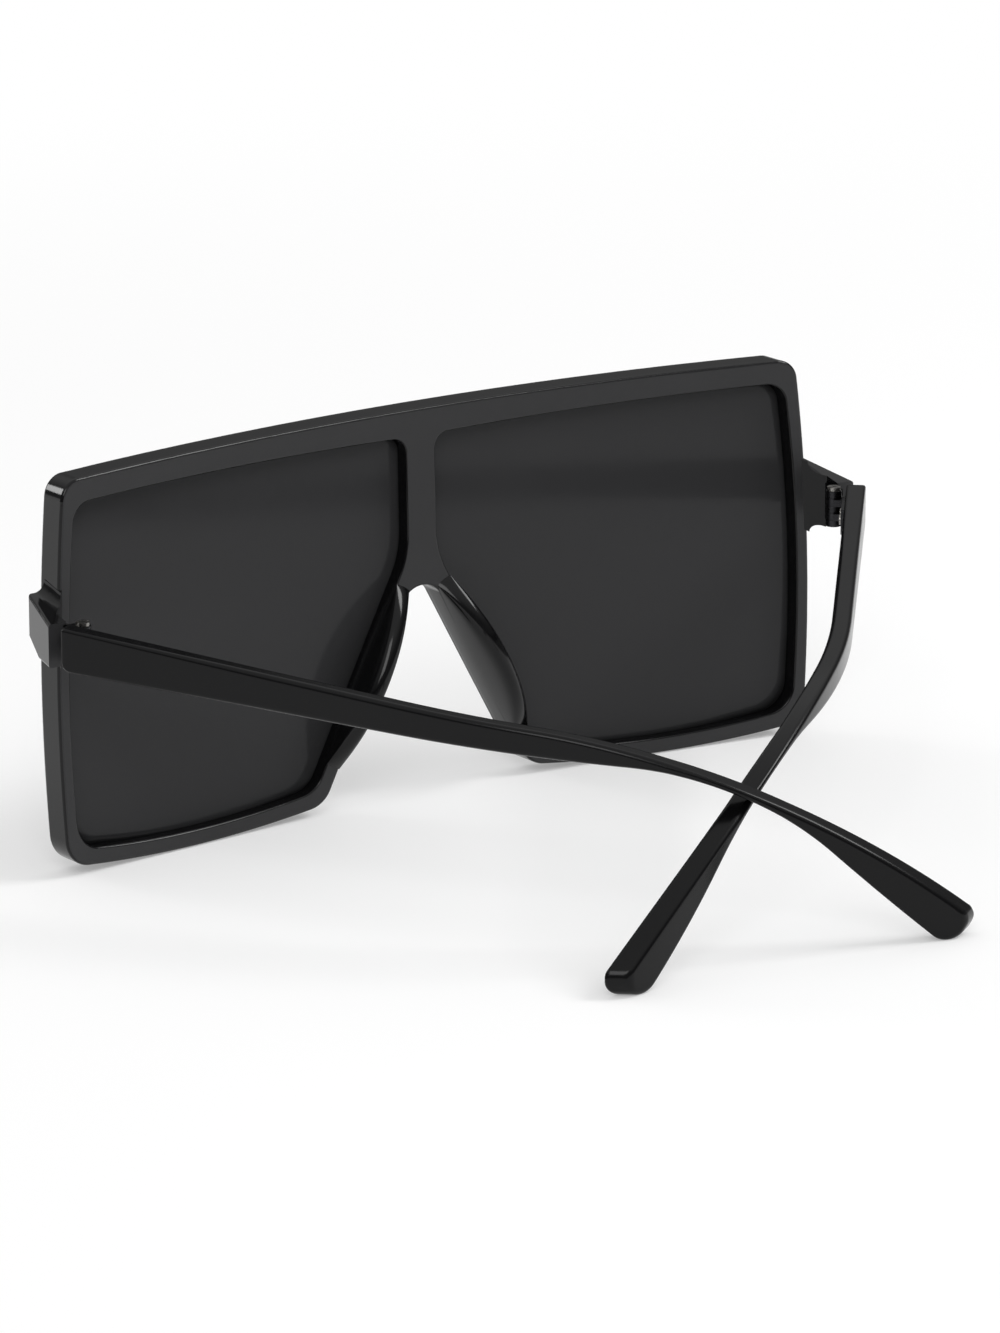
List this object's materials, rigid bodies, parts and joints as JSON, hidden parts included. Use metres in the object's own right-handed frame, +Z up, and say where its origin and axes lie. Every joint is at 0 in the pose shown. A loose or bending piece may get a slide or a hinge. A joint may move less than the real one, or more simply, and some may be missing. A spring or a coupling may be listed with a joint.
{
  "type": "oversized sunglasses",
  "caption": "Oversized square sunglasses: a flat-topped wrapped front with dark lenses, moulded nose pads and side arms that fold on barrel hinges, stood half folded.",
  "frame": {"origin": "on the surface that the sunglasses stand on, below the middle of the front's rear face", "axes": "+X to the wearer's left, -Y the way the lenses face, +Z up"},
  "size_m": [0.154, 0.1154, 0.0642],
  "materials": {
    "frame_plastic": "polished",
    "lens_tint": "polished dark tint",
    "hinge_metal": "satin"
  },
  "bodies": {
    "front": {"front_frame": "frame_plastic", "lens_left": "lens_tint", "lens_right": "lens_tint", "hinge_front_leaf_left": "hinge_metal", "hinge_screw_left": "hinge_metal", "front_leaf_rivets_left": "hinge_metal", "hinge_front_leaf_right": "hinge_metal", "hinge_screw_right": "hinge_metal", "front_leaf_rivets_right": "hinge_metal"},
    "left_temple": {"temple_left": "frame_plastic", "hinge_temple_leaf_left": "hinge_metal", "temple_leaf_rivets_left": "hinge_metal"},
    "right_temple": {"temple_right": "frame_plastic", "hinge_temple_leaf_right": "hinge_metal", "temple_leaf_rivets_right": "hinge_metal"}
  },
  "joints": [
    {"name": "left_temple_fold", "type": "hinge", "parent": "front", "child": "left_temple", "pos_m": [0.07183, 0.01366, 0.04005], "axis": [0, 0, 1], "range_deg": [-35.8, 34.2]},
    {"name": "right_temple_fold", "type": "hinge", "parent": "front", "child": "right_temple", "pos_m": [-0.07183, 0.01366, 0.04005], "axis": [0, 0, -1], "range_deg": [-38.8, 40.4]}
  ]
}
